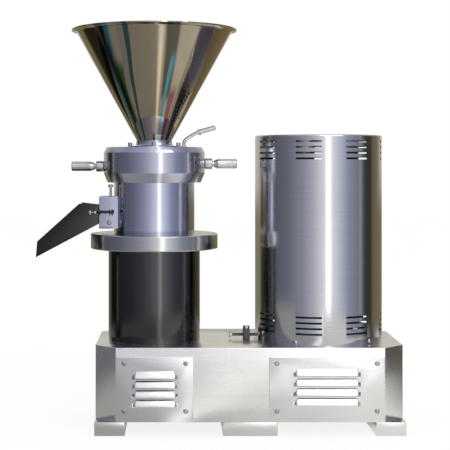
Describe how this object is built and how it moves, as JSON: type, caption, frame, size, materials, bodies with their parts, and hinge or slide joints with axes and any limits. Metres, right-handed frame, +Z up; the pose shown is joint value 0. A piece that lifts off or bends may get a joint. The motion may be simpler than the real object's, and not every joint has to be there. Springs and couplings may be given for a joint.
{
  "type": "split colloid mill",
  "caption": "Floor-standing bone paste emulsifier: hopper over a toothed rotor and stator with an adjusting ring, side chute, and a covered motor driving it by belts.",
  "frame": {"origin": "middle of the whole machine's footprint, on the floor under the feet", "axes": "+Z up, +X from the grinding head to the motor, the vent panels face -Y"},
  "size_m": [0.8436, 0.391, 0.9276],
  "materials": {
    "base_steel": "brushed",
    "panel_steel": "satin",
    "column_steel": "polished dark",
    "disc_steel": "turned",
    "housing_steel": "turned",
    "ring_steel": "turned",
    "handle_steel": "turned",
    "grip_steel": "knurled",
    "hopper_mirror": "mirror polished",
    "chute_steel": "polished dark",
    "cover_steel": "brushed round",
    "fastener_steel": "plain",
    "tool_steel": "ground",
    "shaft_steel": "ground",
    "dark_iron": "machined",
    "motor_paint": "hammered paint",
    "belt_rubber": "matt",
    "fan_plastic": "moulded",
    "gland_plastic": "moulded"
  },
  "bodies": {
    "frame": {"base_top_plate": "base_steel", "base_front_wall": "base_steel", "base_back_wall": "base_steel", "left_foot": "base_steel", "centre_foot": "base_steel", "right_foot": "base_steel", "left_vent_panel": "panel_steel", "right_vent_panel": "panel_steel", "vent_panel_screws": "fastener_steel", "column": "column_steel", "column_bolts": "fastener_steel", "flange_disc": "disc_steel", "grinding_housing": "housing_steel", "guide_key": "tool_steel", "discharge_block": "housing_steel", "discharge_block_screw": "fastener_steel", "chute_hinge_pin": "fastener_steel", "spindle_bearings": "shaft_steel", "bearing_cartridge": "dark_iron", "bearing_cap": "dark_iron", "seal_seat": "tool_steel", "v_belts": "belt_rubber", "motor_plate": "dark_iron", "terminal_box": "motor_paint", "motor_frame": "motor_paint", "motor_bolts": "fastener_steel", "motor_nuts": "fastener_steel", "fan_cowl": "motor_paint", "motor_cover": "cover_steel", "cover_ring": "dark_iron", "cover_screws": "fastener_steel", "tension_block": "dark_iron", "tension_block_bolt": "fastener_steel", "cable_gland": "gland_plastic"},
    "spindle_set": {"spindle": "shaft_steel", "rotor": "tool_steel", "feed_impeller": "tool_steel", "rotor_nut": "fastener_steel", "seal_ring": "tool_steel", "driven_pulley": "dark_iron", "driven_pulley_nut": "fastener_steel"},
    "motor_rotor": {"motor_shaft": "shaft_steel", "drive_pulley": "dark_iron", "drive_pulley_nut": "fastener_steel", "cooling_fan": "fan_plastic"},
    "stator_carrier": {"stator": "tool_steel", "stator_holder": "tool_steel"},
    "ring": {"adjusting_ring": "ring_steel", "right_handle": "handle_steel", "left_handle": "handle_steel", "right_grip": "grip_steel", "left_grip": "grip_steel", "hopper_collar": "ring_steel", "collar_screws": "fastener_steel", "hopper": "hopper_mirror"},
    "lever": {"clamping_lever": "handle_steel", "lever_grip": "grip_steel"},
    "chute": {"chute": "chute_steel", "chute_latch_rod": "fastener_steel"},
    "tension_screw": {"tension_screw": "fastener_steel"}
  },
  "joints": [
    {"name": "motor_spin", "type": "hinge", "parent": "frame", "child": "motor_rotor", "pos_m": [0.24145, 0, 0.14], "axis": [0, 0, 1], "continuous": true},
    {"name": "spindle_spin", "type": "hinge", "parent": "frame", "child": "spindle_set", "pos_m": [-0.14675, 0, 0.14], "axis": [0, 0, 1], "continuous": true},
    {"name": "gap_lift", "type": "slide", "parent": "frame", "child": "stator_carrier", "axis": [0, 0, 1], "range_m": [0, 0.00101]},
    {"name": "ring_turn", "type": "hinge", "parent": "stator_carrier", "child": "ring", "pos_m": [-0.14675, 0, 0.5665], "axis": [0, 0, 1], "range_deg": [0, 90]},
    {"name": "lever_clamp", "type": "hinge", "parent": "ring", "child": "lever", "pos_m": [-0.07675, 0, 0.6495], "axis": [0, 0, 1], "range_deg": [-45, 45]},
    {"name": "chute_swing", "type": "hinge", "parent": "frame", "child": "chute", "pos_m": [-0.24775, -0.04, 0.494], "axis": [0, 0, 1], "range_deg": [0, 55]},
    {"name": "tension_screw_turn", "type": "hinge", "parent": "frame", "child": "tension_screw", "pos_m": [0.07035, -0.015, 0.2084], "axis": [1, 0, 0], "range_deg": [-180, 180]}
  ],
  "couplings": [
    {"joint": "spindle_spin", "follows": "motor_spin", "ratio": 1.25},
    {"joint": "gap_lift", "follows": "ring_turn", "m_per_rad": 0.00063662}
  ]
}
